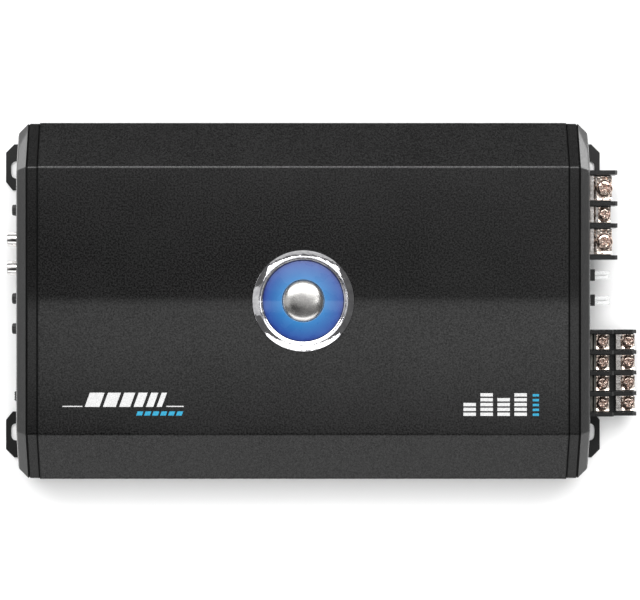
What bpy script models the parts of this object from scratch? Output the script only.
"""Four-channel car amplifier, modelled as the separate pieces it is assembled from.

Metres, +Z up. The origin is the centre of the bottom plate's underside, +X points to
the end with the power and speaker terminals, and -X to the end with the inputs.
"""

import math

import bmesh
import bpy
from mathutils import Matrix, Vector

GAP = 0.0003                    # air between pieces that touch
MERGE = 0.000001                # points of one mesh closer than this are the same point
PASS = 0.001                    # how far a cutter reaches past the face that it opens

# Casing section, in Y and Z
HALF_WIDTH = 0.104
HEIGHT = 0.054
SHOULDER_HEIGHT = 0.036         # the side wall turns into the slope here
CREST_Y = 0.0774                # the slope meets the flat top here
CREST_RADIUS = 0.003
SHOULDER_RADIUS = 0.002
CORNER_STEPS = 3

# Bottom plate and its ears
PLATE_THICKNESS = 0.0015
PLATE_HALF_LENGTH = 0.165
PLATE_HALF_WIDTH = 0.1025
PLATE_CORNER = 0.0075           # cut off each corner, inside the end caps' bevel
EAR_END = 0.1767
EAR_Y = 0.0795                  # middle of an ear
EAR_HALF_WIDTH = 0.0137
EAR_CHAMFER = 0.0050
EAR_INNER_CHAMFER = 0.0040
SLOT_X = 0.1707
SLOT_Y = 0.078
SLOT_HALF_WIDTH = 0.003
SLOT_HALF_LENGTH = 0.00515
SLOT_STEPS = 6
FOOT = PLATE_THICKNESS + GAP    # underside of the casing

# Heatsink shell
SHELL_HALF_LENGTH = 0.1535
WALL = 0.0035
SIDE_WALL = 0.004
RAIL_INNER_Y = 0.092
RAIL_TOP = 0.0088
RIB_INNER_Y = 0.088
RIB_LOW = 0.0155
RIB_HIGH = 0.0245
FIN_COUNT = 5
FIN_FIRST = 0.0065
FIN_PITCH = 0.0050
FIN_GROOVE = 0.0022
FIN_DEPTH = 0.0015

# End caps and panels
CAP_START = SHELL_HALF_LENGTH + GAP
CAP_END = 0.1665
CAP_INSET = 0.0005
GROOVE_START = 0.1594
GROOVE_END = 0.1603
GROOVE_INSET = 0.0011
CAP_EDGE = ((0.0011, 0.0053), (0.0004, 0.0062), (0, 0.0078))    # back from the end, and inwards
OPENING_INSET = 0.015
OPENING_FOOT = 0.008
LIP_BACK = 0.1626
CAVITY_INSET = 0.0045
CAVITY_FOOT = 0.0048
PANEL_INNER = 0.1608
PANEL_OUTER = 0.1623
PANEL_DRILL = 0.004             # length of a drill that passes through a panel
PANEL_INSET = 0.0050
PANEL_FOOT = 0.0053

# Casing screws
END_SCREW_Y = 0.0925
END_SCREW_Z = 0.020
END_HEAD_RADIUS = 0.00275
END_HEAD_HEIGHT = 0.0017
END_HEAD_SEAT = 0.1645
END_SHANK_RADIUS = 0.0014
END_SHANK_LENGTH = 0.018
BASE_SCREW_X = 0.140
BASE_SCREW_Y = 0.097
BASE_HEAD_RADIUS = 0.0031
BASE_HEAD_FACE = 0.0001         # above the plate's underside
BASE_SHANK_RADIUS = 0.0015
BASE_SCREW_TOP = 0.0080
BASE_SINK_RADIUS = 0.0036       # of the countersink, just below the plate
BASE_SINK_DEPTH = 0.0017
HEAD_SINK = 0.0002              # a countersink reaches this far past the head it takes
BASE_CROSS_REACH = 0.0019
BASE_CROSS_HALF_WIDTH = 0.00045
BASE_CROSS_DEPTH = 0.0009
SCREW_HOLE_DEPTH = 0.012        # in the shell, from outside it
SOCKET_RADIUS = 0.00115

# Badge
BEZEL_RADIUS = 0.0293
LENS_RADIUS = 0.0232
HUB_RADIUS = 0.01215
BADGE_RECESS = 0.0007
BEZEL_RIM = 0.0009              # height of the bezel's outer wall and of its inner edge over the top
BEZEL_CROWN = ((0.0008, 0.0022), (0.0026, 0.0026), (0.0048, 0.0018))    # inwards, and up
LENS_STEPS = 3
LENS_EDGE = 0.0006
LENS_DOME = 0.0030
HUB_STEPS = 4
HUB_WALL = 0.0022
HUB_DOME = 0.0020

# Boards
BOARD_BOTTOM = RAIL_TOP + GAP
BOARD_THICKNESS = 0.0016
BOARD_TOP = BOARD_BOTTOM + BOARD_THICKNESS
ON_BOARD = BOARD_TOP + GAP
CONTROL_BOARD_BACK = -0.1482
CONTROL_BOARD_FRONT = -0.1498
ON_CONTROL_BOARD = CONTROL_BOARD_FRONT - GAP
MAIN_BOARD_HALF_LENGTH = 0.158
MAIN_BOARD_HALF_WIDTH = 0.098
CONTROL_BOARD_SPAN = (-0.080, 0.062)
CONTROL_BOARD_HEIGHT = 0.038

# Input end: two rows, one above the other
UPPER_ROW = 0.031
LOWER_ROW = 0.017
KNOB_RADIUS = 0.0032
KNOB_TIP = -0.1702
KNOB_BACK = -0.1592
KNOB_SHAFT_RADIUS = 0.0015
KNOB_PLAY = 0.0005              # round a knob in the panel's hole
KNOB_CHAMFER = 0.0006
POINTER_DEPTH = 0.0009
POINTER_HALF_WIDTH = 0.0005
SHAFT_INSERTION = 0.0030        # of a knob's shaft in its pot
POT_SOCKET_DEPTH = 0.0035
KNOBS = {
    "front_crossover": (0.0531, UPPER_ROW),
    "rear_crossover": (0.0531, LOWER_ROW),
    "front_gain": (0.0014, UPPER_ROW),
    "rear_gain": (-0.0162, UPPER_ROW),
}
POT_FRONT = -0.1575
POT_HALF = 0.005
JACK_RADIUS = 0.0043
JACK_TIP = -0.1728
JACK_BACK = -0.1570
JACK_COLUMNS = (0.0361, 0.0192)
JACK_BLOCK_MARGIN = 0.0082
JACK_BLOCK_FRONT = -0.1636
JACK_BLOCK_SLACK = 0.0012       # the block's top is this much nearer than its sides
JACK_PLAY = 0.0004
JACK_WALL = 0.0008
JACK_FLANGE = 0.0009            # beyond the barrel
JACK_FLANGE_THICKNESS = 0.0008
JACK_INSERT = 0.0012            # the insulating insert starts this far inside the barrel's mouth
JACK_PIN_RADIUS = 0.0017
JACK_PIN_DEPTH = 0.0090
SWITCH_Y = -0.0558
SWITCHES = {"front_filter": UPPER_ROW, "rear_filter": LOWER_ROW}
SLIDER_HALF_WIDTH = 0.00318
SLIDER_HALF_HEIGHT = 0.0017
SLIDER_TIP = -0.1688
SLIDER_BACK = -0.1560
SLIDER_CHAMFER = 0.0009
SLIDER_PLAY = 0.0005
SWITCH_FRONT = -0.1595
SWITCH_HALF_WIDTH = 0.0100
SWITCH_HALF_HEIGHT = 0.0048
SWITCH_TRAVEL = 0.0020
CHANNEL_PLAY = 0.0004           # left at each end of the slider's travel
PORT_Y = -0.0360
PORT_HALF_WIDTH = 0.0065
PORT_TOP = 0.0235
PORT_FRONT = -0.1630
PORT_MOUTH_DEPTH = 0.0110
PORT_WALL = 0.0015
PORT_SILL = 0.0020
PORT_LINTEL = 0.0030
LATCH_HALF_WIDTH = 0.0020
LATCH_FOOT = 0.0008
LIGHT_Y = -0.0730
LIGHT_Z = 0.0240
LIGHT_RADIUS = 0.00145
LIGHT_FACE = 0.1635
LIGHT_LEG_RADIUS = 0.0010
LIGHT_LEG = 0.0070
LIGHT_SHOULDER = 0.0078

# Power terminal block
POWER_BARRIERS = (0.0750, 0.0569, 0.0440, 0.0254)
POWER_BARRIER = 0.0026
POWER_DECK = 0.0280
POWER_DECK_END = 0.1804
POWER_BARRIER_END = 0.1836
POWER_BARRIER_TOE = 0.0040
POWER_BARRIER_RISE = 0.0045
POWER_BARRIER_CHAMFER = 0.0015
POWER_SCREW_X = 0.1765
BLOCK_BACK = 0.1560
BLOCK_FOOT = 0.0120
BLOCK_WALL_START = 0.1635
BLOCK_WALL_END = 0.1676
BARRIER_TOP = 0.0360
BARRIER_FOOT = 0.0135
WALL_FOOT = 0.0200
SHELF = 0.00002                 # an end barrier's sides stay this much inside the block's
LARGE_SCREW = (0.0048, 0.0030, 0.0024, 0.0100)      # head radius and height, shank radius and length
SMALL_SCREW = (0.0036, 0.0025, 0.0019, 0.0090)
POWER_HOLE_RADIUS = 0.0028
POWER_HOLE_DEPTH = 0.0095
SCREW_LIFT = 0.0020             # a head's underside above its deck, room for plate and washer

# Speaker terminal block
SPEAKER_FIRST_BARRIER = -0.0180
SPEAKER_PITCH = -0.0121
SPEAKER_BAYS = 4
SPEAKER_BARRIER = 0.0022
UPPER_DECK = 0.0270
UPPER_DECK_END = 0.1800
LOWER_DECK = 0.0155
LOWER_DECK_END = 0.1953
LOWER_FOOT = 0.0090
SPEAKER_BARRIER_END = 0.1962
LOWER_BARRIER_TOP = 0.0235
LOWER_BARRIER_FOOT = 0.0100
SPEAKER_STEP = 0.0014           # a barrier's upper step ends this far beyond the upper deck
SPEAKER_STEP_CHAMFER = 0.0010
SPEAKER_FILLET = 0.0016
SPEAKER_TOE = 0.0020
SPEAKER_CHAMFER = 0.0025
SPEAKER_SCREW = (0.0034, 0.0024, 0.0016, 0.0060)
SPEAKER_SCREW_LIFT = 0.0018
SPEAKER_HOLE_RADIUS = 0.0020
SPEAKER_HOLE_DEPTH = 0.0050
UPPER_SCREW_X = 0.1755
LOWER_SCREW_X = 0.1919

# Fuses
FUSE_COLUMNS = {"fuse_upper": 0.0151, "fuse_lower": 0.0004}
FUSE_Z = 0.0230
FUSE_HALF_HEIGHT = 0.00955
FUSE_HALF_THICKNESS = 0.00255
FUSE_TIP = 0.1795
FUSE_BACK = 0.1660
BLADE_BACK = 0.1582
BLADE_OFFSET = 0.0066
BLADE_HALF_HEIGHT = 0.0026
BLADE_HALF_THICKNESS = 0.0004
SOCKET_HALF_WIDTH = 0.00335
SOCKET_HALF_HEIGHT = 0.0107
SOCKET_FRONT = 0.1705
SOCKET_FLOOR = 0.1645
FUSE_BLOCK_BACK = 0.1540
FUSE_BLOCK_FRONT = 0.1602
TOWER_BACK = 0.1550
TOWER_TRIM = 0.00001            # a tower's sides stay this much inside the block's
SOCKET_PLAY_Y = 0.0002
SOCKET_PLAY_Z = 0.00035
FUSE_BACK_CHAMFER = 0.0015
FUSE_TIP_CHAMFER = 0.0008
BLADE_CHAMFER = 0.0010
BLADE_ROOT = 0.0020             # how far a blade reaches into the clear body

# Parts inside
TRANSISTORS = 8
TRANSISTOR_PITCH = 0.027
TRANSISTOR_HALF_WIDTH = 0.0051
TRANSISTOR_FOOT = 0.0030        # above the board's clearance
TRANSISTOR_TOP = 0.0265
CLAMP_BAR_Y = (0.0790, 0.0830)
CLAMP_BAR_OVERHANG = 0.010
TRANSFORMER = {"spot": (0.040, 0.020), "outer": 0.0250, "inner": 0.0095, "height": 0.022}
CHOKE = {"spot": (0.098, 0.048), "outer": 0.0160, "inner": 0.0065, "height": 0.014}
CAPACITOR_RADIUS = 0.011
CAPACITOR_HEIGHT = 0.036
CAPACITOR_ROLL = (0.0020, 0.0027, 0.0034)           # heights of the rolled groove near the foot
CAPACITOR_ROLL_DEPTH = 0.0006
CAPACITOR_CHAMFER = 0.0010
CAPACITOR_X = 0.100
CAPACITORS = {"capacitor_front": 0.010, "capacitor_rear": -0.018}


def finish_mesh(bm, name):
    """The bmesh as a mesh with its faces turned outwards."""
    bmesh.ops.remove_doubles(bm, verts=bm.verts, dist=MERGE)
    bmesh.ops.recalc_face_normals(bm, faces=bm.faces)
    mesh = bpy.data.meshes.new(name)
    bm.to_mesh(mesh)
    bm.free()
    return mesh


def prism(outline, axis, low, high):
    """An outline carried along one axis. Its pairs are the other two coordinates in XYZ order."""
    places = {
        "X": lambda u, v: (low, u, v),
        "Y": lambda u, v: (u, low, v),
        "Z": lambda u, v: (u, v, low),
    }
    along = {"X": Vector((1, 0, 0)), "Y": Vector((0, 1, 0)), "Z": Vector((0, 0, 1))}[axis]
    bm = bmesh.new()
    base = bm.faces.new([bm.verts.new(places[axis](u, v)) for u, v in outline])
    grown = bmesh.ops.extrude_face_region(bm, geom=[base], use_keep_orig=True)
    lifted = [item for item in grown["geom"] if isinstance(item, bmesh.types.BMVert)]
    bmesh.ops.translate(bm, verts=lifted, vec=along * (high - low))
    return finish_mesh(bm, "prism")


def block(low, high):
    """A box from its lowest to its highest corner."""
    bm = bmesh.new()
    bmesh.ops.create_cube(bm, size=1.0)
    size = Vector(high) - Vector(low)
    bmesh.ops.scale(bm, verts=bm.verts, vec=size)
    bmesh.ops.translate(bm, verts=bm.verts, vec=(Vector(low) + Vector(high)) / 2)
    return finish_mesh(bm, "block")


def turned(profile, steps=24, closed=False):
    """A (radius, height) profile turned about Z. It runs from axis to axis, or is a closed ring."""
    bm = bmesh.new()
    points = [bm.verts.new((radius, 0, height)) for radius, height in profile]
    pairs = list(zip(points, points[1:]))
    if closed:
        pairs.append((points[-1], points[0]))
    edges = [bm.edges.new(pair) for pair in pairs]
    bmesh.ops.spin(
        bm, geom=points + edges, cent=(0, 0, 0), axis=(0, 0, 1), angle=2 * math.pi, steps=steps
    )
    return finish_mesh(bm, "turned")


def drill(centre, axis, radius, length, steps=16):
    """A round rod that starts at centre and runs along axis, to cut a hole with."""
    rod = turned([(0, 0), (radius, 0), (radius, length), (0, length)], steps)
    turn = Vector((0, 0, 1)).rotation_difference(Vector(axis)).to_matrix().to_4x4()
    rod.transform(Matrix.Translation(centre) @ turn)
    return rod


def lofted_ring(loops):
    """A closed band through loops of equally many points. The last loop joins the first."""
    bm = bmesh.new()
    rings = [[bm.verts.new(point) for point in loop] for loop in loops]
    count = len(rings[0])
    for ring, following in zip(rings, rings[1:] + rings[:1]):
        for i in range(count):
            j = (i + 1) % count
            bm.faces.new((ring[i], ring[j], following[j], following[i]))
    return finish_mesh(bm, "ring")


def combined(mesh, others, operation):
    """The mesh after a Boolean operation with each of the others in turn."""
    collection = bpy.context.scene.collection
    body = bpy.data.objects.new("body", mesh)
    collection.objects.link(body)
    helpers = []
    for other in others:
        helper = bpy.data.objects.new("helper", other)
        collection.objects.link(helper)
        helpers.append(helper)
        modifier = body.modifiers.new(operation.lower(), "BOOLEAN")
        modifier.operation = operation
        modifier.object = helper
    bpy.context.view_layer.update()
    graph = bpy.context.evaluated_depsgraph_get()
    result = bpy.data.meshes.new_from_object(body.evaluated_get(graph))
    for used in [body, *helpers]:
        bpy.data.objects.remove(used)
    return result


def cut(mesh, cutters):
    return combined(mesh, cutters, "DIFFERENCE")


def join(mesh, others):
    return combined(mesh, others, "UNION")


def material(name, colour, roughness, metallic=0.0, alpha=1.0):
    made = bpy.data.materials.new(name)
    made.use_nodes = True
    shader = made.node_tree.nodes["Principled BSDF"]
    shader.inputs["Base Color"].default_value = (*colour, 1.0)
    shader.inputs["Roughness"].default_value = roughness
    shader.inputs["Metallic"].default_value = metallic
    shader.inputs["Alpha"].default_value = alpha
    return made


def make_materials():
    return {
        "shell": material("shell_black", (0.030, 0.030, 0.033), 0.45, 0.4),
        "cap": material("cap_black", (0.040, 0.040, 0.043), 0.35),
        "plate": material("plate_black", (0.030, 0.030, 0.030), 0.5, 0.5),
        "plastic": material("black_plastic", (0.015, 0.015, 0.016), 0.35),
        "nickel": material("nickel", (0.72, 0.69, 0.66), 0.22, 1.0),
        "chrome": material("chrome", (0.80, 0.82, 0.85), 0.08, 1.0),
        "lens": material("blue_lens", (0.02, 0.16, 0.75), 0.05, 0.0, 0.75),
        "clear": material("clear_plastic", (0.90, 0.92, 0.93), 0.08, 0.0, 0.35),
        "board": material("circuit_board", (0.02, 0.16, 0.07), 0.45),
        "winding": material("copper_winding", (0.60, 0.26, 0.10), 0.35, 0.8),
        "can": material("capacitor_sleeve", (0.03, 0.03, 0.06), 0.35),
        "steel": material("black_screw", (0.03, 0.03, 0.03), 0.35, 0.9),
        "light": material("status_light", (0.10, 0.35, 0.95), 0.15, 0.0, 0.8),
    }


def place(name, mesh, finish, location=(0, 0, 0), rotation=(0, 0, 0), smooth_angle=35):
    """One sub-part as an object. Meshes may be shared by copies of the same piece."""
    if not mesh.materials:
        mesh.materials.append(finish)
    mesh.materials[0] = finish
    mesh.shade_smooth()
    mesh.set_sharp_from_angle(angle=math.radians(smooth_angle))
    made = bpy.data.objects.new(name, mesh)
    made.location = location
    made.rotation_euler = rotation
    bpy.context.scene.collection.objects.link(made)
    return made


def mirrored(half):
    """A half section from foot to crest at +Y, continued from crest to foot at -Y."""
    return half + [(-y, z) for y, z in reversed(half)]


def rounded(before, corner, after, radius, steps):
    """Points of an arc that rounds a corner between two straight runs."""
    corner = Vector(corner)
    back = (Vector(before) - corner).normalized()
    on = (Vector(after) - corner).normalized()
    half_angle = back.angle(on) / 2
    centre = corner + (back + on).normalized() * (radius / math.sin(half_angle))
    first = corner + back * (radius / math.tan(half_angle))
    last = corner + on * (radius / math.tan(half_angle))
    start = first - centre
    sweep = start.angle_signed(last - centre)
    points = []
    for i in range(steps + 1):
        # angle_signed is clockwise in 2-D, so the turn is taken with the opposite sign
        turn = Matrix.Rotation(-sweep * i / steps, 2)
        points.append(tuple(centre + turn @ start))
    return points


def half_section(inset, foot, steps=CORNER_STEPS):
    """The casing's outline at +Y, from its foot to the crest, moved inwards by inset."""
    slope = math.atan2(HEIGHT - SHOULDER_HEIGHT, HALF_WIDTH - CREST_Y)
    across, up = math.sin(slope), math.cos(slope)
    reach = HALF_WIDTH * across + SHOULDER_HEIGHT * up - inset
    side = HALF_WIDTH - inset
    top = HEIGHT - inset
    foot_point = (side, foot)
    shoulder = (side, (reach - side * across) / up)
    crest = ((reach - top * up) / across, top)
    crest_radius = max(CREST_RADIUS - inset / 2, 0.0008)
    shoulder_radius = max(SHOULDER_RADIUS - inset / 2, 0.0006)
    return [
        foot_point,
        *rounded(foot_point, shoulder, crest, shoulder_radius, steps),
        *rounded(shoulder, crest, (0, top), crest_radius, steps),
    ]


def heatsink_shell(finish):
    foot, *above = half_section(0, FOOT)
    fins = [foot]
    for i in range(FIN_COUNT):
        low = FIN_FIRST + i * FIN_PITCH
        high = low + FIN_GROOVE
        floor = HALF_WIDTH - FIN_DEPTH
        fins += [(HALF_WIDTH, low), (floor, low), (floor, high), (HALF_WIDTH, high)]
    inner_wall = HALF_WIDTH - SIDE_WALL
    inner_top = half_section(WALL, FOOT, steps=2)[1:]
    inner_top = [(min(y, inner_wall), z) for y, z in inner_top]
    inner = [
        (RAIL_INNER_Y, FOOT),
        (RAIL_INNER_Y, RAIL_TOP),
        (inner_wall, RAIL_TOP),
        (inner_wall, RIB_LOW),
        (RIB_INNER_Y, RIB_LOW),
        (RIB_INNER_Y, RIB_HIGH),
        (inner_wall, RIB_HIGH),
        *inner_top[2:],
    ]
    outline = mirrored(fins + above) + [(-y, z) for y, z in inner] + list(reversed(inner))
    body = prism(outline, "X", -SHELL_HALF_LENGTH, SHELL_HALF_LENGTH)
    holes = [drill((0, 0, HEIGHT - BADGE_RECESS), (0, 0, 1), BEZEL_RADIUS + GAP, 0.01, 40)]
    for x in (-1, 1):
        for y in (-1, 1):
            base = (x * BASE_SCREW_X, y * BASE_SCREW_Y, 0.0)
            holes.append(drill(base, (0, 0, 1), BASE_SHANK_RADIUS + GAP, SCREW_HOLE_DEPTH, 12))
            end = (x * (SHELL_HALF_LENGTH + PASS), y * END_SCREW_Y, END_SCREW_Z)
            holes.append(drill(end, (-x, 0, 0), END_SHANK_RADIUS + GAP, SCREW_HOLE_DEPTH, 12))
    return place("heatsink_shell", cut(body, holes), finish)


def ear_outline(x_side, y_side):
    """The corner of the plate with its ear, as points from the long side to the short side."""
    low = EAR_Y - EAR_HALF_WIDTH
    high = EAR_Y + EAR_HALF_WIDTH
    points = [
        (PLATE_HALF_LENGTH, low),
        (EAR_END - EAR_INNER_CHAMFER, low),
        (EAR_END, low + EAR_CHAMFER),
        (EAR_END, high - EAR_CHAMFER),
        (EAR_END - EAR_CHAMFER, high),
        (PLATE_HALF_LENGTH, high),
        (PLATE_HALF_LENGTH, PLATE_HALF_WIDTH - PLATE_CORNER),
        (PLATE_HALF_LENGTH - PLATE_CORNER, PLATE_HALF_WIDTH),
    ]
    return [(x_side * x, y_side * y) for x, y in points]


def slot_cutter(x, y):
    """An upright rod with two round ends, longer along Y."""
    straight = SLOT_HALF_LENGTH - SLOT_HALF_WIDTH
    outline = []
    for side in (1, -1):
        for i in range(SLOT_STEPS + 1):
            angle = math.pi * i / SLOT_STEPS + (0 if side > 0 else math.pi)
            outline.append((
                x + SLOT_HALF_WIDTH * math.cos(angle),
                y + side * straight + SLOT_HALF_WIDTH * math.sin(angle),
            ))
    return prism(outline, "Z", -PASS, PLATE_THICKNESS + PASS)


def bottom_plate(finish):
    outline = (
        ear_outline(1, 1)
        + list(reversed(ear_outline(-1, 1)))
        + ear_outline(-1, -1)
        + list(reversed(ear_outline(1, -1)))
    )
    cutters = []
    sink = [
        (0, -HEAD_SINK),
        (BASE_SINK_RADIUS, -HEAD_SINK),
        (BASE_SHANK_RADIUS + GAP + HEAD_SINK, BASE_SINK_DEPTH),
        (0, BASE_SINK_DEPTH),
    ]
    for x in (-1, 1):
        for y in (-1, 1):
            cutters.append(slot_cutter(x * SLOT_X, y * SLOT_Y))
            countersink = turned(sink, 16)
            countersink.transform(Matrix.Translation((x * BASE_SCREW_X, y * BASE_SCREW_Y, 0)))
            cutters.append(countersink)
    body = prism(outline, "Z", 0.0, PLATE_THICKNESS)
    return place("bottom_plate", cut(body, cutters), finish)


def cap_loop(x, inset, foot):
    return [(x, y, z) for y, z in mirrored(half_section(inset, foot))]


def end_cap(name, side, finish):
    stations = [
        (CAP_START, CAP_INSET, FOOT),
        (GROOVE_START, CAP_INSET, FOOT),
        (GROOVE_START, GROOVE_INSET, FOOT + GROOVE_INSET - CAP_INSET),
        (GROOVE_END, GROOVE_INSET, FOOT + GROOVE_INSET - CAP_INSET),
        (GROOVE_END, CAP_INSET, FOOT),
        *[(CAP_END - back, inset, FOOT) for back, inset in CAP_EDGE],
        (CAP_END, OPENING_INSET, OPENING_FOOT),
        (LIP_BACK, OPENING_INSET, OPENING_FOOT),
        (LIP_BACK, CAVITY_INSET, CAVITY_FOOT),
        (CAP_START, CAVITY_INSET, CAVITY_FOOT),
    ]
    body = lofted_ring([cap_loop(side * x, inset, foot) for x, inset, foot in stations])
    start = CAP_END + PASS
    sink = start - END_HEAD_SEAT + GAP
    stepped = [
        (0, 0),
        (END_HEAD_RADIUS + GAP, 0),
        (END_HEAD_RADIUS + GAP, sink),
        (END_SHANK_RADIUS + GAP, sink),
        (END_SHANK_RADIUS + GAP, start - LIP_BACK + PASS),
        (0, start - LIP_BACK + PASS),
    ]
    holes = []
    for y in (-END_SCREW_Y, END_SCREW_Y):
        hole = turned(stepped, 16)
        hole.transform(Matrix.Rotation(-side * math.pi / 2, 4, "Y"))
        hole.transform(Matrix.Translation((side * start, y, END_SCREW_Z)))
        holes.append(hole)
    return place(name, cut(body, holes), finish)


def panel(name, side, windows, finish):
    """A flat end panel with its cut-outs. Each window is a cutter mesh that passes through."""
    low, high = sorted((side * PANEL_INNER, side * PANEL_OUTER))
    outline = mirrored(half_section(PANEL_INSET, PANEL_FOOT, steps=2))
    body = prism(outline, "X", low, high)
    holes = list(windows)
    for y in (-END_SCREW_Y, END_SCREW_Y):
        start = (side * (PANEL_INNER - PASS), y, END_SCREW_Z)
        holes.append(drill(start, (side, 0, 0), END_SHANK_RADIUS + GAP, PANEL_DRILL, 12))
    return place(name, cut(body, holes), finish)


def window(side, y_low, y_high, z_low, z_high):
    low, high = sorted((side * (PANEL_INNER - PASS), side * (PANEL_OUTER + PASS)))
    return block((low, y_low - GAP, z_low - GAP), (high, y_high + GAP, z_high + GAP))


def input_panel(finish):
    side = -1
    start = side * (PANEL_INNER - PASS)
    windows = [window(side, *jack_block_span(), ON_BOARD, jack_block_top())]
    for y, z in KNOBS.values():
        windows.append(drill((start, y, z), (side, 0, 0), KNOB_RADIUS + KNOB_PLAY, PANEL_DRILL, 20))
    for z in SWITCHES.values():
        reach = SLIDER_HALF_WIDTH + SWITCH_TRAVEL + 2 * GAP
        rise = SLIDER_HALF_HEIGHT + SLIDER_PLAY
        windows.append(window(side, SWITCH_Y - reach, SWITCH_Y + reach, z - rise, z + rise))
    low, high = PORT_Y - PORT_HALF_WIDTH, PORT_Y + PORT_HALF_WIDTH
    windows.append(window(side, low, high, ON_BOARD, PORT_TOP))
    windows.append(drill((start, LIGHT_Y, LIGHT_Z), (side, 0, 0), LIGHT_RADIUS + GAP, PANEL_DRILL))
    return panel("input_panel", side, windows, finish)


def output_panel(finish):
    power_low, power_high = power_span()
    speaker_low, speaker_high = speaker_span()
    windows = [
        window(1, power_low, power_high, BLOCK_FOOT, BARRIER_TOP),
        window(1, speaker_low, speaker_high, BLOCK_FOOT, BARRIER_TOP),
    ]
    for y in FUSE_COLUMNS.values():
        low, high = y - SOCKET_HALF_WIDTH, y + SOCKET_HALF_WIDTH
        bottom, top = FUSE_Z - SOCKET_HALF_HEIGHT, FUSE_Z + SOCKET_HALF_HEIGHT
        windows.append(window(1, low, high, bottom, top))
    return panel("output_panel", 1, windows, finish)


def base_screw_mesh():
    """Countersunk, head down, from the plate's underside up into the shell's rail."""
    profile = [
        (0, BASE_HEAD_FACE),
        (BASE_HEAD_RADIUS, BASE_HEAD_FACE),
        (BASE_HEAD_RADIUS, BASE_HEAD_FACE + HEAD_SINK),
        (BASE_SHANK_RADIUS, BASE_SINK_DEPTH),
        (BASE_SHANK_RADIUS, BASE_SCREW_TOP),
        (0, BASE_SCREW_TOP),
    ]
    return cut(turned(profile, 12), cross_cutters())


def cross_cutters():
    """Two crossing bars that cut the cross recess of a countersunk head."""
    reach, half_width, depth = BASE_CROSS_REACH, BASE_CROSS_HALF_WIDTH, BASE_CROSS_DEPTH
    return [
        block((-reach, -half_width, 0), (reach, half_width, depth)),
        block((-half_width, -reach, 0), (half_width, reach, depth)),
    ]


def end_screw_mesh():
    """Round head with a hexagonal socket, head at the top and the thread below it."""
    profile = [
        (0, -END_SHANK_LENGTH),
        (END_SHANK_RADIUS, -END_SHANK_LENGTH),
        (END_SHANK_RADIUS, 0),
        (END_HEAD_RADIUS, 0),
        (END_HEAD_RADIUS, END_HEAD_HEIGHT * 0.5),
        (END_HEAD_RADIUS * 0.7, END_HEAD_HEIGHT),
        (0, END_HEAD_HEIGHT),
    ]
    socket = drill((0, 0, END_HEAD_HEIGHT * 0.35), (0, 0, 1), SOCKET_RADIUS, END_HEAD_HEIGHT, 6)
    return cut(turned(profile, 12), [socket])


def terminal_screw_mesh(head_radius, head_height, shank_radius, shank_length):
    """Pan head with a cross recess and one long slot. Its head stands on height zero."""
    profile = [
        (0, -shank_length),
        (shank_radius, -shank_length),
        (shank_radius, 0),
        (head_radius, 0),
        (head_radius, head_height * 0.55),
        (head_radius * 0.8, head_height),
        (0, head_height),
    ]
    depth = head_height * 0.45
    half_width = head_radius * 0.11
    above = head_height + PASS
    slot, cross = head_radius + PASS, head_radius * 0.55
    recess = [
        block((-slot, -half_width, depth), (slot, half_width, above)),
        block((-half_width, -cross, depth), (half_width, cross, above)),
    ]
    return cut(turned(profile, 14), recess)


def add_casing_screws(finishes):
    base = base_screw_mesh()
    end = end_screw_mesh()
    corners = [("front_left", -1, 1), ("front_right", 1, 1), ("rear_left", -1, -1)]
    corners.append(("rear_right", 1, -1))
    for corner, x, y in corners:
        spot = (x * BASE_SCREW_X, y * BASE_SCREW_Y, 0)
        place(f"base_screw_{corner}", base, finishes["steel"], spot)
        end_name = "input" if x < 0 else "output"
        side_name = "front" if y > 0 else "rear"
        seat = (x * END_HEAD_SEAT, y * END_SCREW_Y, END_SCREW_Z)
        turn = (0, x * math.pi / 2, 0)
        place(f"{end_name}_cap_screw_{side_name}", end, finishes["steel"], seat, turn)


def add_badge(finishes):
    seat = HEIGHT - BADGE_RECESS + GAP
    bezel = [
        (LENS_RADIUS + GAP, seat),
        (BEZEL_RADIUS, seat),
        (BEZEL_RADIUS, HEIGHT + BEZEL_RIM),
        *[(BEZEL_RADIUS - inset, HEIGHT + rise) for inset, rise in BEZEL_CROWN],
        (LENS_RADIUS + GAP, HEIGHT + BEZEL_RIM),
    ]
    place("badge_bezel", turned(bezel, 40, closed=True), finishes["chrome"])
    dome = []
    for i in range(LENS_STEPS + 1):
        radius = HUB_RADIUS + GAP + (LENS_RADIUS - HUB_RADIUS - GAP) * i / LENS_STEPS
        rise = LENS_DOME * (1 - (radius / LENS_RADIUS) ** 2)
        dome.append((radius, HEIGHT + LENS_EDGE + rise))
    rim = [(LENS_RADIUS, seat), (HUB_RADIUS + GAP, seat)]
    place("badge_lens", turned(dome + rim, 40, closed=True), finishes["lens"])
    hub = [(0, seat), (HUB_RADIUS, seat)]
    for i in range(HUB_STEPS + 1):
        angle = math.radians(90 * i / HUB_STEPS)
        hub.append((HUB_RADIUS * math.cos(angle), HEIGHT + HUB_WALL + HUB_DOME * math.sin(angle)))
    place("badge_hub", turned(hub, 28), finishes["chrome"])


def jack_block_span():
    return min(JACK_COLUMNS) - JACK_BLOCK_MARGIN, max(JACK_COLUMNS) + JACK_BLOCK_MARGIN


def jack_block_top():
    return UPPER_ROW + JACK_BLOCK_MARGIN - JACK_BLOCK_SLACK


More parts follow.
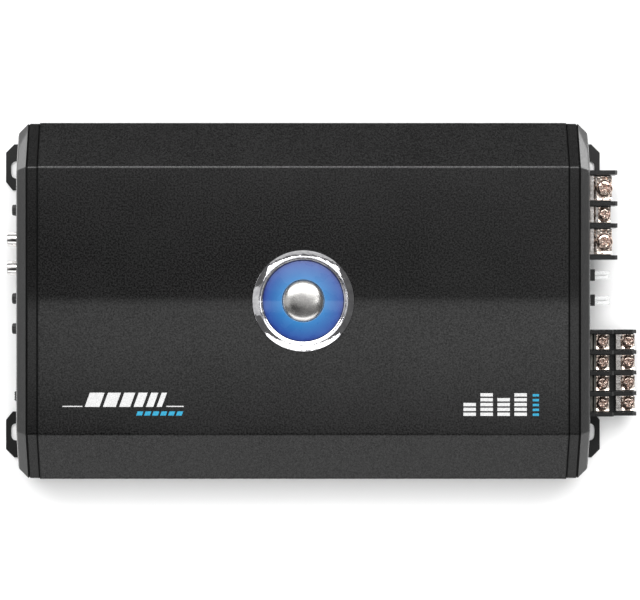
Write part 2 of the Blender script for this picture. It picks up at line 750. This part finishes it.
def add_jacks(finishes):
    low, high = jack_block_span()
    body = block((JACK_BLOCK_FRONT, low, ON_BOARD), (ON_CONTROL_BOARD, high, jack_block_top()))
    holes = []
    places = [(y, z) for z in (UPPER_ROW, LOWER_ROW) for y in JACK_COLUMNS]
    for y, z in places:
        start = (JACK_BLOCK_FRONT - PASS, y, z)
        depth = JACK_BACK + GAP - start[0]
        holes.append(drill(start, (1, 0, 0), JACK_RADIUS + JACK_PLAY, depth, 18))
    place("rca_block", cut(body, holes), finishes["plastic"])
    length = JACK_BACK - JACK_TIP
    seat = JACK_BACK - JACK_BLOCK_FRONT + GAP
    profile = [
        (0, 0),
        (JACK_RADIUS, 0),
        (JACK_RADIUS, seat),
        (JACK_RADIUS + JACK_FLANGE, seat),
        (JACK_RADIUS + JACK_FLANGE, seat + JACK_FLANGE_THICKNESS),
        (JACK_RADIUS, seat + JACK_FLANGE_THICKNESS),
        (JACK_RADIUS, length),
        (JACK_RADIUS - JACK_WALL, length),
        (JACK_RADIUS - JACK_WALL, length - JACK_INSERT),
        (JACK_PIN_RADIUS, length - JACK_INSERT),
        (JACK_PIN_RADIUS, length - JACK_PIN_DEPTH),
        (0, length - JACK_PIN_DEPTH),
    ]
    jack = turned(profile, 16)
    names = ("front_left", "front_right", "rear_left", "rear_right")
    for name, (y, z) in zip(names, places):
        spot = (JACK_BACK, y, z)
        place(f"rca_jack_{name}", jack, finishes["nickel"], spot, (0, -math.pi / 2, 0))


def knob_mesh():
    """Points along +Z, away from the panel, with height zero at the knob's back."""
    length = KNOB_BACK - KNOB_TIP
    shaft = POT_FRONT + SHAFT_INSERTION - KNOB_BACK
    profile = [
        (0, -shaft),
        (KNOB_SHAFT_RADIUS, -shaft),
        (KNOB_SHAFT_RADIUS, 0),
        (KNOB_RADIUS, 0),
        (KNOB_RADIUS, length - KNOB_CHAMFER),
        (KNOB_RADIUS - KNOB_CHAMFER, length),
        (0, length),
    ]
    pointer = block(
        (-KNOB_RADIUS - PASS, -POINTER_HALF_WIDTH, length - POINTER_DEPTH),
        (KNOB_RADIUS + PASS, POINTER_HALF_WIDTH, length + PASS),
    )
    return cut(turned(profile, 16), [pointer])


def pot_mesh():
    """Square pot body with a round socket for the knob's shaft. Height zero is its back."""
    depth = ON_CONTROL_BOARD - POT_FRONT
    body = block((-POT_HALF, -POT_HALF, 0), (POT_HALF, POT_HALF, depth))
    reach = POT_SOCKET_DEPTH + PASS
    socket = drill((0, 0, depth + PASS), (0, 0, -1), KNOB_SHAFT_RADIUS + GAP, reach, 12)
    return cut(body, [socket])


def add_controls(finishes):
    knob = knob_mesh()
    pot = pot_mesh()
    outwards = (0, -math.pi / 2, 0)
    for name, (y, z) in KNOBS.items():
        place(f"{name}_knob", knob, finishes["plastic"], (KNOB_BACK, y, z), outwards)
        place(f"{name}_pot", pot, finishes["board"], (ON_CONTROL_BOARD, y, z), outwards)
    for name, z in SWITCHES.items():
        add_slide_switch(name, z, finishes)


def add_slide_switch(name, z, finishes):
    chamfer = SLIDER_CHAMFER
    width = SLIDER_HALF_WIDTH
    outline = [
        (SLIDER_BACK, -width),
        (SLIDER_BACK, width),
        (SLIDER_TIP + chamfer, width),
        (SLIDER_TIP, width - chamfer),
        (SLIDER_TIP, -width + chamfer),
        (SLIDER_TIP + chamfer, -width),
    ]
    cap = prism(outline, "Z", -SLIDER_HALF_HEIGHT, SLIDER_HALF_HEIGHT)
    place(f"{name}_slider", cap, finishes["plastic"], (0, SWITCH_Y, z))
    low = (SWITCH_FRONT, -SWITCH_HALF_WIDTH, -SWITCH_HALF_HEIGHT)
    high = (ON_CONTROL_BOARD, SWITCH_HALF_WIDTH, SWITCH_HALF_HEIGHT)
    reach = width + SWITCH_TRAVEL + CHANNEL_PLAY
    rise = SLIDER_HALF_HEIGHT + GAP
    channel = block((SWITCH_FRONT - PASS, -reach, -rise), (SLIDER_BACK + GAP, reach, rise))
    body = cut(block(low, high), [channel])
    place(f"{name}_switch_body", body, finishes["nickel"], (0, SWITCH_Y, z))


def add_port_and_light(finishes):
    low, high = PORT_Y - PORT_HALF_WIDTH, PORT_Y + PORT_HALF_WIDTH
    body = block((PORT_FRONT, low, ON_BOARD), (ON_CONTROL_BOARD, high, PORT_TOP))
    front, back = PORT_FRONT - PASS, PORT_FRONT + PORT_MOUTH_DEPTH
    mouth = block(
        (front, low + PORT_WALL, ON_BOARD + PORT_SILL),
        (back, high - PORT_WALL, PORT_TOP - PORT_LINTEL),
    )
    latch = block(
        (front, PORT_Y - LATCH_HALF_WIDTH, ON_BOARD + LATCH_FOOT),
        (back, PORT_Y + LATCH_HALF_WIDTH, ON_BOARD + PORT_SILL + PASS),
    )
    place("remote_port", cut(body, [mouth, latch]), finishes["plastic"])
    dome = [
        (0, 0),
        (LIGHT_LEG_RADIUS, 0),
        (LIGHT_LEG_RADIUS, LIGHT_LEG),
        (LIGHT_RADIUS, LIGHT_SHOULDER),
    ]
    face = ON_CONTROL_BOARD + LIGHT_FACE
    for i in range(5):
        angle = math.radians(90 * i / 4)
        reach = face - LIGHT_RADIUS * (1 - math.sin(angle))
        dome.append((LIGHT_RADIUS * math.cos(angle), reach))
    spot = (ON_CONTROL_BOARD, LIGHT_Y, LIGHT_Z)
    place("status_light", turned(dome, 16), finishes["light"], spot, (0, -math.pi / 2, 0))


def power_span():
    half = POWER_BARRIER / 2
    return min(POWER_BARRIERS) - half, max(POWER_BARRIERS) + half


def speaker_barriers():
    return [SPEAKER_FIRST_BARRIER + i * SPEAKER_PITCH for i in range(SPEAKER_BAYS + 1)]


def speaker_span():
    barriers = speaker_barriers()
    half = SPEAKER_BARRIER / 2
    return min(barriers) - half, max(barriers) + half


def add_power_terminals(finishes):
    low, high = power_span()
    body = block((BLOCK_BACK, low, BLOCK_FOOT), (POWER_DECK_END, high, POWER_DECK))
    extras = [block((BLOCK_WALL_START, low, WALL_FOOT), (BLOCK_WALL_END, high, BARRIER_TOP))]
    outline = [
        (BLOCK_WALL_START, BARRIER_FOOT),
        (POWER_BARRIER_END - POWER_BARRIER_TOE, BARRIER_FOOT),
        (POWER_BARRIER_END, BARRIER_FOOT + POWER_BARRIER_RISE),
        (POWER_BARRIER_END, BARRIER_TOP - POWER_BARRIER_CHAMFER),
        (POWER_BARRIER_END - POWER_BARRIER_CHAMFER, BARRIER_TOP),
        (BLOCK_WALL_START, BARRIER_TOP),
    ]
    for y in POWER_BARRIERS:
        half = POWER_BARRIER / 2
        trim = SHELF if y in (POWER_BARRIERS[0], POWER_BARRIERS[-1]) else 0
        extras.append(prism(outline, "Y", y - half + trim, y + half - trim))
    body = join(body, extras)
    bays = [(a + b) / 2 for a, b in zip(POWER_BARRIERS, POWER_BARRIERS[1:])]
    large = terminal_screw_mesh(*LARGE_SCREW)
    small = terminal_screw_mesh(*SMALL_SCREW)
    kinds = [("supply_screw", large), ("remote_screw", small), ("ground_screw", large)]
    holes = []
    for y in bays:
        start = (POWER_SCREW_X, y, POWER_DECK + PASS)
        holes.append(drill(start, (0, 0, -1), POWER_HOLE_RADIUS, POWER_HOLE_DEPTH + PASS))
    place("power_terminal_block", cut(body, holes), finishes["plastic"])
    for (name, mesh), y in zip(kinds, bays):
        place(name, mesh, finishes["nickel"], (POWER_SCREW_X, y, POWER_DECK + SCREW_LIFT))


def add_speaker_terminals(finishes):
    low, high = speaker_span()
    body = block((BLOCK_BACK, low, BLOCK_FOOT), (UPPER_DECK_END, high, UPPER_DECK))
    extras = [
        block((BLOCK_WALL_END, low, LOWER_FOOT), (LOWER_DECK_END, high, LOWER_DECK)),
        block((BLOCK_WALL_START, low, WALL_FOOT), (BLOCK_WALL_END, high, BARRIER_TOP)),
    ]
    tip = SPEAKER_BARRIER_END
    step = UPPER_DECK_END + SPEAKER_STEP
    outline = [
        (BLOCK_WALL_START, BARRIER_FOOT),
        (BLOCK_WALL_END + SPEAKER_STEP_CHAMFER, LOWER_BARRIER_FOOT),
        (tip - SPEAKER_TOE, LOWER_BARRIER_FOOT),
        (tip, LOWER_BARRIER_FOOT + SPEAKER_CHAMFER),
        (tip, LOWER_BARRIER_TOP - SPEAKER_CHAMFER),
        (tip - SPEAKER_CHAMFER, LOWER_BARRIER_TOP),
        (step + SPEAKER_FILLET, LOWER_BARRIER_TOP),
        (step, LOWER_BARRIER_TOP + SPEAKER_FILLET),
        (step, BARRIER_TOP - SPEAKER_STEP_CHAMFER),
        (step - SPEAKER_STEP_CHAMFER, BARRIER_TOP),
        (BLOCK_WALL_START, BARRIER_TOP),
    ]
    barriers = speaker_barriers()
    for y in barriers:
        half = SPEAKER_BARRIER / 2
        trim = SHELF if y in (barriers[0], barriers[-1]) else 0
        extras.append(prism(outline, "Y", y - half + trim, y + half - trim))
    body = join(body, extras)
    bays = [(a + b) / 2 for a, b in zip(barriers, barriers[1:])]
    rows = [("inner", UPPER_SCREW_X, UPPER_DECK), ("outer", LOWER_SCREW_X, LOWER_DECK)]
    screw = terminal_screw_mesh(*SPEAKER_SCREW)
    holes = []
    for row, x, deck in rows:
        for channel, y in enumerate(bays, start=1):
            start = (x, y, deck + PASS)
            reach = SPEAKER_HOLE_DEPTH + PASS
            holes.append(drill(start, (0, 0, -1), SPEAKER_HOLE_RADIUS, reach, 12))
            spot = (x, y, deck + SPEAKER_SCREW_LIFT)
            place(f"speaker_screw_{row}_{channel}", screw, finishes["nickel"], spot)
    place("speaker_terminal_block", cut(body, holes), finishes["plastic"])


def add_fuses(finishes):
    columns = list(FUSE_COLUMNS.values())
    bottom, top = FUSE_Z - SOCKET_HALF_HEIGHT, FUSE_Z + SOCKET_HALF_HEIGHT
    back_low = min(columns) - SOCKET_HALF_WIDTH
    back_high = max(columns) + SOCKET_HALF_WIDTH
    body = block((FUSE_BLOCK_BACK, back_low, bottom), (FUSE_BLOCK_FRONT, back_high, top))
    extras = []
    cutters = []
    for y in columns:
        wide = SOCKET_HALF_WIDTH - TOWER_TRIM
        extras.append(block(
            (TOWER_BACK, y - wide, bottom + TOWER_TRIM),
            (SOCKET_FRONT, y + wide, top - TOWER_TRIM),
        ))
        half = FUSE_HALF_THICKNESS + SOCKET_PLAY_Y
        rise = FUSE_HALF_HEIGHT + SOCKET_PLAY_Z
        cutters.append(block(
            (SOCKET_FLOOR, y - half, FUSE_Z - rise),
            (SOCKET_FRONT + PASS, y + half, FUSE_Z + rise),
        ))
        for side in (-1, 1):
            middle = FUSE_Z + side * BLADE_OFFSET
            reach = BLADE_HALF_HEIGHT + GAP
            cutters.append(block(
                (BLADE_BACK - PASS, y - BLADE_HALF_THICKNESS - GAP, middle - reach),
                (SOCKET_FLOOR + PASS, y + BLADE_HALF_THICKNESS + GAP, middle + reach),
            ))
    place("fuse_block", cut(join(body, extras), cutters), finishes["plastic"])
    fuse = fuse_mesh()
    for name, y in FUSE_COLUMNS.items():
        place(name, fuse, finishes["clear"], (FUSE_BACK, y, FUSE_Z))


def fuse_mesh():
    """A blade fuse lying along X. X zero is the back of its clear body."""
    thick, tall = FUSE_HALF_THICKNESS, FUSE_HALF_HEIGHT
    depth = FUSE_TIP - FUSE_BACK
    heel, toe = FUSE_BACK_CHAMFER, FUSE_TIP_CHAMFER
    outline = [
        (0, -tall + heel),
        (heel, -tall),
        (depth - toe, -tall),
        (depth, -tall + toe),
        (depth, tall - toe),
        (depth - toe, tall),
        (heel, tall),
        (0, tall - heel),
    ]
    body = prism(outline, "Y", -thick, thick)
    blades = []
    for side in (-1, 1):
        middle = side * BLADE_OFFSET
        back = BLADE_BACK - FUSE_BACK
        low, high = middle - BLADE_HALF_HEIGHT, middle + BLADE_HALF_HEIGHT
        shape = [
            (BLADE_ROOT, low),
            (BLADE_ROOT, high),
            (back + BLADE_CHAMFER, high),
            (back, high - BLADE_CHAMFER),
            (back, low + BLADE_CHAMFER),
            (back + BLADE_CHAMFER, low),
        ]
        blades.append(prism(shape, "Y", -BLADE_HALF_THICKNESS, BLADE_HALF_THICKNESS))
    return join(body, blades)


def add_boards(finishes):
    low = (-MAIN_BOARD_HALF_LENGTH, -MAIN_BOARD_HALF_WIDTH, BOARD_BOTTOM)
    high = (MAIN_BOARD_HALF_LENGTH, MAIN_BOARD_HALF_WIDTH, BOARD_TOP)
    place("main_board", block(low, high), finishes["board"])
    low = (CONTROL_BOARD_FRONT, CONTROL_BOARD_SPAN[0], ON_BOARD)
    high = (CONTROL_BOARD_BACK, CONTROL_BOARD_SPAN[1], CONTROL_BOARD_HEIGHT)
    place("control_board", block(low, high), finishes["board"])


def winding(name, spot, outer, inner, height, finish):
    """A wound ring core standing flat on the main board."""
    edge = min(height, outer - inner) * 0.25
    profile = [
        (inner, edge),
        (inner + edge, 0),
        (outer - edge, 0),
        (outer, edge),
        (outer, height - edge),
        (outer - edge, height),
        (inner + edge, height),
        (inner, height - edge),
    ]
    place(name, turned(profile, 24, closed=True), finish, (*spot, ON_BOARD))


def capacitor_mesh():
    """A can with the rolled groove near its foot."""
    radius, height = CAPACITOR_RADIUS, CAPACITOR_HEIGHT
    low, middle, high = CAPACITOR_ROLL
    profile = [
        (0, 0),
        (radius, 0),
        (radius, low),
        (radius - CAPACITOR_ROLL_DEPTH, middle),
        (radius, high),
        (radius, height - CAPACITOR_CHAMFER),
        (radius - CAPACITOR_CHAMFER, height),
        (0, height),
    ]
    return turned(profile, 20)


def transistor_bar(name, side, finish):
    """A row of power transistors and the bar that clamps them, seen from above as a comb."""
    face = RIB_INNER_Y - GAP
    bar_low, bar_high = CLAMP_BAR_Y
    half = TRANSISTOR_HALF_WIDTH
    first = -TRANSISTOR_PITCH * (TRANSISTORS - 1) / 2
    start = first - CLAMP_BAR_OVERHANG
    outline = [(start, bar_low), (-start, bar_low), (-start, bar_high)]
    for i in reversed(range(TRANSISTORS)):
        middle = first + i * TRANSISTOR_PITCH
        outline += [
            (middle + half, bar_high),
            (middle + half, face),
            (middle - half, face),
            (middle - half, bar_high),
        ]
    outline.append((start, bar_high))
    outline = [(x, side * y) for x, y in outline]
    place(name, prism(outline, "Z", ON_BOARD + TRANSISTOR_FOOT, TRANSISTOR_TOP), finish)


def add_power_parts(finishes):
    winding("power_transformer", finish=finishes["winding"], **TRANSFORMER)
    winding("output_choke", finish=finishes["winding"], **CHOKE)
    can = capacitor_mesh()
    for name, y in CAPACITORS.items():
        place(name, can, finishes["can"], (CAPACITOR_X, y, ON_BOARD))
    transistor_bar("transistor_bar_front", 1, finishes["plastic"])
    transistor_bar("transistor_bar_rear", -1, finishes["plastic"])


def build():
    for leftover in list(bpy.data.objects):
        bpy.data.objects.remove(leftover)
    finishes = make_materials()
    heatsink_shell(finishes["shell"])
    bottom_plate(finishes["plate"])
    end_cap("input_end_cap", -1, finishes["cap"])
    end_cap("output_end_cap", 1, finishes["cap"])
    input_panel(finishes["plate"])
    output_panel(finishes["plate"])
    add_casing_screws(finishes)
    add_badge(finishes)
    add_jacks(finishes)
    add_controls(finishes)
    add_port_and_light(finishes)
    add_power_terminals(finishes)
    add_speaker_terminals(finishes)
    add_fuses(finishes)
    add_boards(finishes)
    add_power_parts(finishes)


build()
